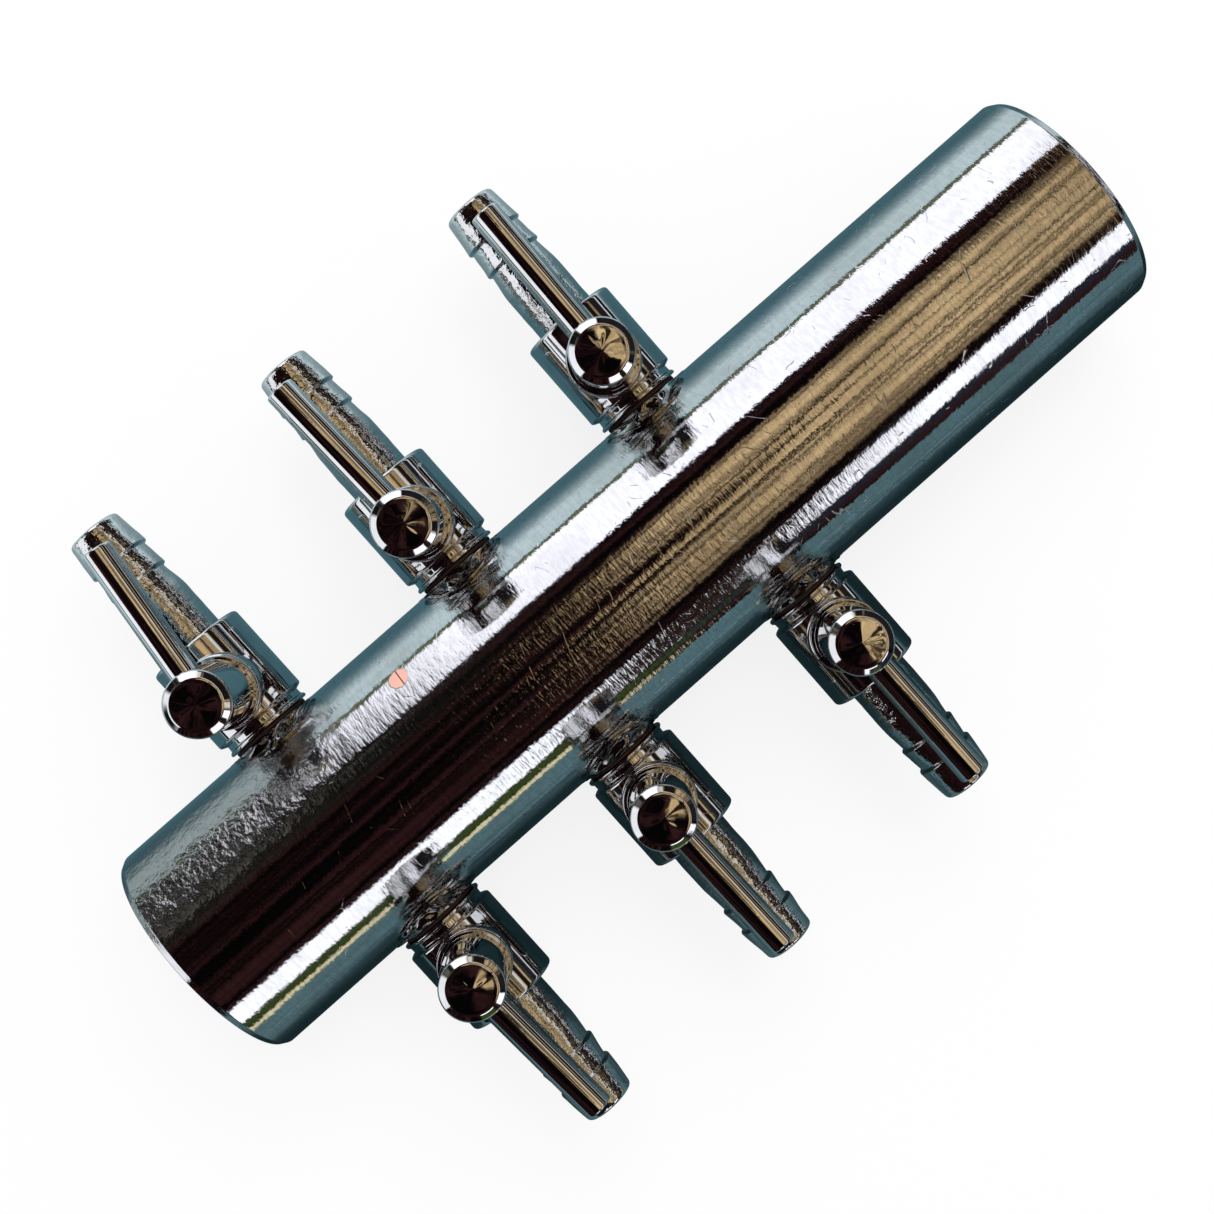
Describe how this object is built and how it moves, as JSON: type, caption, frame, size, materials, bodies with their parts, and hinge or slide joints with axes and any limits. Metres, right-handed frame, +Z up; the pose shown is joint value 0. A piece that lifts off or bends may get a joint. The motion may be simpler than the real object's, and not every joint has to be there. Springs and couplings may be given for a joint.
{
  "type": "gas distribution manifold",
  "caption": "Plated gas manifold: a round tube open at one end, with opposite rows of small lever-operated plug valves, each ending in a hose barb.",
  "frame": {"origin": "the middle of the closed end's outer face, on the tube's axis", "axes": "+X along the tube to the inlet, +Z up the valve spindles, outlets along +Y and -Y"},
  "size_m": [0.094, 0.0628, 0.0241],
  "materials": {
    "tube_chrome": "polished along rings, fine scratches",
    "valve_chrome": "mirror",
    "braze_metal": "lumpy, plated over braze",
    "spring_steel": "satin",
    "seal_fibre": "matt",
    "seal_rubber": "matt"
  },
  "bodies": {
    "manifold": {"manifold_tube": "tube_chrome", "end_disc": "tube_chrome", "outlet_stub_1": "braze_metal", "sealing_ring_1": "seal_fibre", "valve_body_1": "valve_chrome", "outlet_stub_2": "braze_metal", "sealing_ring_2": "seal_fibre", "valve_body_2": "valve_chrome", "outlet_stub_3": "braze_metal", "sealing_ring_3": "seal_fibre", "valve_body_3": "valve_chrome", "outlet_stub_4": "braze_metal", "sealing_ring_4": "seal_fibre", "valve_body_4": "valve_chrome", "outlet_stub_5": "braze_metal", "sealing_ring_5": "seal_fibre", "valve_body_5": "valve_chrome", "outlet_stub_6": "braze_metal", "sealing_ring_6": "seal_fibre", "valve_body_6": "valve_chrome"},
    "spindle_1": {"valve_plug_1": "valve_chrome", "lever_1": "valve_chrome", "upper_o_ring_1": "seal_rubber", "lower_o_ring_1": "seal_rubber", "retaining_clip_1": "spring_steel"},
    "spindle_2": {"valve_plug_2": "valve_chrome", "lever_2": "valve_chrome", "upper_o_ring_2": "seal_rubber", "lower_o_ring_2": "seal_rubber", "retaining_clip_2": "spring_steel"},
    "spindle_3": {"valve_plug_3": "valve_chrome", "lever_3": "valve_chrome", "upper_o_ring_3": "seal_rubber", "lower_o_ring_3": "seal_rubber", "retaining_clip_3": "spring_steel"},
    "spindle_4": {"valve_plug_4": "valve_chrome", "lever_4": "valve_chrome", "upper_o_ring_4": "seal_rubber", "lower_o_ring_4": "seal_rubber", "retaining_clip_4": "spring_steel"},
    "spindle_5": {"valve_plug_5": "valve_chrome", "lever_5": "valve_chrome", "upper_o_ring_5": "seal_rubber", "lower_o_ring_5": "seal_rubber", "retaining_clip_5": "spring_steel"},
    "spindle_6": {"valve_plug_6": "valve_chrome", "lever_6": "valve_chrome", "upper_o_ring_6": "seal_rubber", "lower_o_ring_6": "seal_rubber", "retaining_clip_6": "spring_steel"}
  },
  "joints": [
    {"name": "lever_turn_1", "type": "hinge", "parent": "manifold", "child": "spindle_1", "pos_m": [0.016, 0.0147, 0], "axis": [-0.0436, 0, 0.999], "range_deg": [-83, 97]},
    {"name": "lever_turn_2", "type": "hinge", "parent": "manifold", "child": "spindle_2", "pos_m": [0.036, 0.0147, 0], "axis": [-0.0262, 0, 0.9997], "range_deg": [-92, 88]},
    {"name": "lever_turn_3", "type": "hinge", "parent": "manifold", "child": "spindle_3", "pos_m": [0.056, 0.0147, 0], "axis": [-0.061, 0, 0.9981], "range_deg": [-89, 91]},
    {"name": "lever_turn_4", "type": "hinge", "parent": "manifold", "child": "spindle_4", "pos_m": [0.016, -0.0147, 0], "axis": [0.0262, 0, 0.9997], "range_deg": [-93, 87]},
    {"name": "lever_turn_5", "type": "hinge", "parent": "manifold", "child": "spindle_5", "pos_m": [0.036, -0.0147, 0], "axis": [-0.0349, 0, 0.9994], "range_deg": [-91, 89]},
    {"name": "lever_turn_6", "type": "hinge", "parent": "manifold", "child": "spindle_6", "pos_m": [0.056, -0.0147, 0], "axis": [-0.0349, 0, 0.9994], "range_deg": [-90.5, 89.5]}
  ]
}
